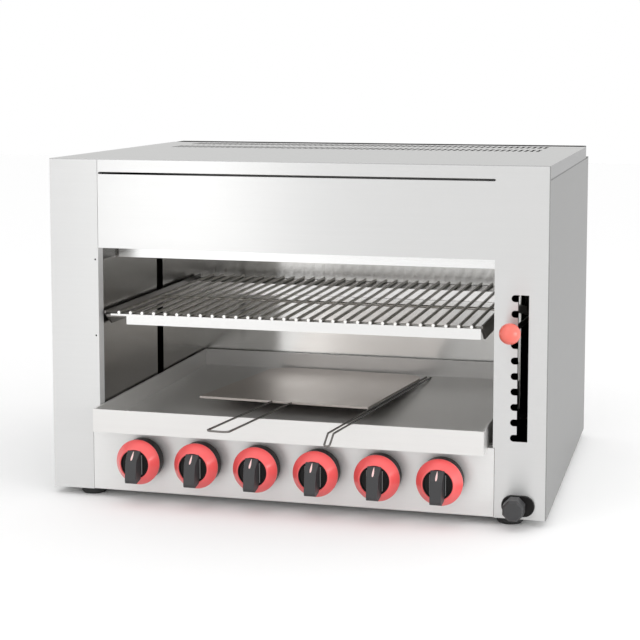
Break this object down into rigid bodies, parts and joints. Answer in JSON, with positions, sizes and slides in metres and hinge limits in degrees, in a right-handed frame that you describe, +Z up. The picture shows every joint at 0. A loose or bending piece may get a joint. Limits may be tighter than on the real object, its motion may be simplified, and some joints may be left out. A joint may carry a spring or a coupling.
{
  "type": "gas cheese melter",
  "caption": "Countertop gas cheese melter in stainless sheet: open grill chamber, rack on a notched side lever, drip tray, loose plate, wire lifter, round control knobs and a push igniter.",
  "frame": {"origin": "on the surface it stands on, under the middle of the whole part's box, from the plate's wire loop in front to the gas inlet behind", "axes": "+X to the user's right along the control panel, -Y towards the user, +Z up"},
  "size_m": [0.8, 0.8249, 0.548],
  "materials": {
    "stainless": "fine brushed",
    "chamber_steel": "bright rolled",
    "bright_steel": "satin",
    "dark_steel": "dull drawn wire",
    "plate_steel": "dull, slightly warm",
    "flue_black": "matt",
    "burner_metal": "heat-proof aluminised",
    "plaque_ceramic": "porous",
    "brass": "machined",
    "copper": "drawn tube",
    "rubber": "matt",
    "black_plastic": "fine grain",
    "red_plastic": "semi-gloss"
  },
  "bodies": {
    "casing": {"left_side_panel": "stainless", "right_side_panel": "stainless", "left_column": "stainless", "front_panel": "stainless", "control_panel": "stainless", "top_cover": "stainless", "back_panel": "stainless", "rear_flue": "flue_black", "base_pan": "stainless", "inner_left_wall": "chamber_steel", "inner_right_wall": "chamber_steel", "inner_back_wall": "chamber_steel", "burner_shelf": "chamber_steel", "heat_shield": "chamber_steel", "burner_1": "burner_metal", "burner_2": "burner_metal", "burner_3": "burner_metal", "burner_4": "burner_metal", "burner_5": "burner_metal", "burner_6": "burner_metal", "burner_plaques": "plaque_ceramic", "burner_guards": "chamber_steel", "gas_manifold": "brass", "gas_taps": "brass", "burner_pipes": "copper", "thermocouples": "copper", "gas_inlet": "brass", "igniter_housing": "black_plastic", "feet": "rubber", "casing_screws": "bright_steel", "lift_guides": "chamber_steel"},
    "rack": {"rack_rails": "bright_steel", "rack_grid": "bright_steel", "rack_arms": "dark_steel", "lever_pivot": "bright_steel"},
    "lever": {"lever_arm": "dark_steel", "lever_ball": "red_plastic"},
    "tray": {"tray": "bright_steel"},
    "plate": {"plate": "plate_steel", "plate_loop": "dark_steel"},
    "lifter": {"lifter": "dark_steel"},
    "tap_1": {"tap_plug_1": "brass"},
    "tap_2": {"tap_plug_2": "brass"},
    "tap_3": {"tap_plug_3": "brass"},
    "tap_4": {"tap_plug_4": "brass"},
    "tap_5": {"tap_plug_5": "brass"},
    "tap_6": {"tap_plug_6": "brass"},
    "knob_1": {"knob_1": "black_plastic", "knob_ring_1": "red_plastic"},
    "knob_2": {"knob_2": "black_plastic", "knob_ring_2": "red_plastic"},
    "knob_3": {"knob_3": "black_plastic", "knob_ring_3": "red_plastic"},
    "knob_4": {"knob_4": "black_plastic", "knob_ring_4": "red_plastic"},
    "knob_5": {"knob_5": "black_plastic", "knob_ring_5": "red_plastic"},
    "knob_6": {"knob_6": "black_plastic", "knob_ring_6": "red_plastic"},
    "igniter_button": {"igniter_button": "black_plastic"}
  },
  "joints": [
    {"name": "rack_lift", "type": "slide", "parent": "casing", "child": "rack", "axis": [0, 0, 1], "range_m": [-0.0944, 0.0472]},
    {"name": "lever_swing", "type": "hinge", "parent": "rack", "child": "lever", "pos_m": [0.366, 0.045, 0.3016], "axis": [0, 0, 1], "range_deg": [0, 3.3]},
    {"name": "tray_slide", "type": "slide", "parent": "casing", "child": "tray", "axis": [0, -1, 0], "range_m": [0, 0.38]},
    {"name": "plate_lift", "type": "slide", "parent": "tray", "child": "plate", "axis": [0, 0, 1], "range_m": [0, 0.03]},
    {"name": "lifter_lift", "type": "slide", "parent": "tray", "child": "lifter", "axis": [0, 0, 1], "range_m": [0, 0.03]},
    {"name": "tap_1_turn", "type": "hinge", "parent": "casing", "child": "tap_1", "pos_m": [-0.2425, -0.237, 0.069], "axis": [0, -1, 0], "range_deg": [0, 180]},
    {"name": "tap_2_turn", "type": "hinge", "parent": "casing", "child": "tap_2", "pos_m": [-0.1455, -0.237, 0.069], "axis": [0, -1, 0], "range_deg": [0, 180]},
    {"name": "tap_3_turn", "type": "hinge", "parent": "casing", "child": "tap_3", "pos_m": [-0.0485, -0.237, 0.069], "axis": [0, -1, 0], "range_deg": [0, 180]},
    {"name": "tap_4_turn", "type": "hinge", "parent": "casing", "child": "tap_4", "pos_m": [0.0485, -0.237, 0.069], "axis": [0, -1, 0], "range_deg": [0, 180]},
    {"name": "tap_5_turn", "type": "hinge", "parent": "casing", "child": "tap_5", "pos_m": [0.1455, -0.237, 0.069], "axis": [0, -1, 0], "range_deg": [0, 180]},
    {"name": "tap_6_turn", "type": "hinge", "parent": "casing", "child": "tap_6", "pos_m": [0.2425, -0.237, 0.069], "axis": [0, -1, 0], "range_deg": [0, 180]},
    {"name": "knob_1_push", "type": "slide", "parent": "tap_1", "child": "knob_1", "axis": [0, 1, 0], "range_m": [0, 0.004], "stiffness_N_per_m": 1200, "springref_m": -0.002},
    {"name": "knob_2_push", "type": "slide", "parent": "tap_2", "child": "knob_2", "axis": [0, 1, 0], "range_m": [0, 0.004], "stiffness_N_per_m": 1200, "springref_m": -0.002},
    {"name": "knob_3_push", "type": "slide", "parent": "tap_3", "child": "knob_3", "axis": [0, 1, 0], "range_m": [0, 0.004], "stiffness_N_per_m": 1200, "springref_m": -0.002},
    {"name": "knob_4_push", "type": "slide", "parent": "tap_4", "child": "knob_4", "axis": [0, 1, 0], "range_m": [0, 0.004], "stiffness_N_per_m": 1200, "springref_m": -0.002},
    {"name": "knob_5_push", "type": "slide", "parent": "tap_5", "child": "knob_5", "axis": [0, 1, 0], "range_m": [0, 0.004], "stiffness_N_per_m": 1200, "springref_m": -0.002},
    {"name": "knob_6_push", "type": "slide", "parent": "tap_6", "child": "knob_6", "axis": [0, 1, 0], "range_m": [0, 0.004], "stiffness_N_per_m": 1200, "springref_m": -0.002},
    {"name": "igniter_push", "type": "slide", "parent": "casing", "child": "igniter_button", "axis": [0, 1, 0], "range_m": [0, 0.004], "stiffness_N_per_m": 2000, "springref_m": -0.002}
  ]
}
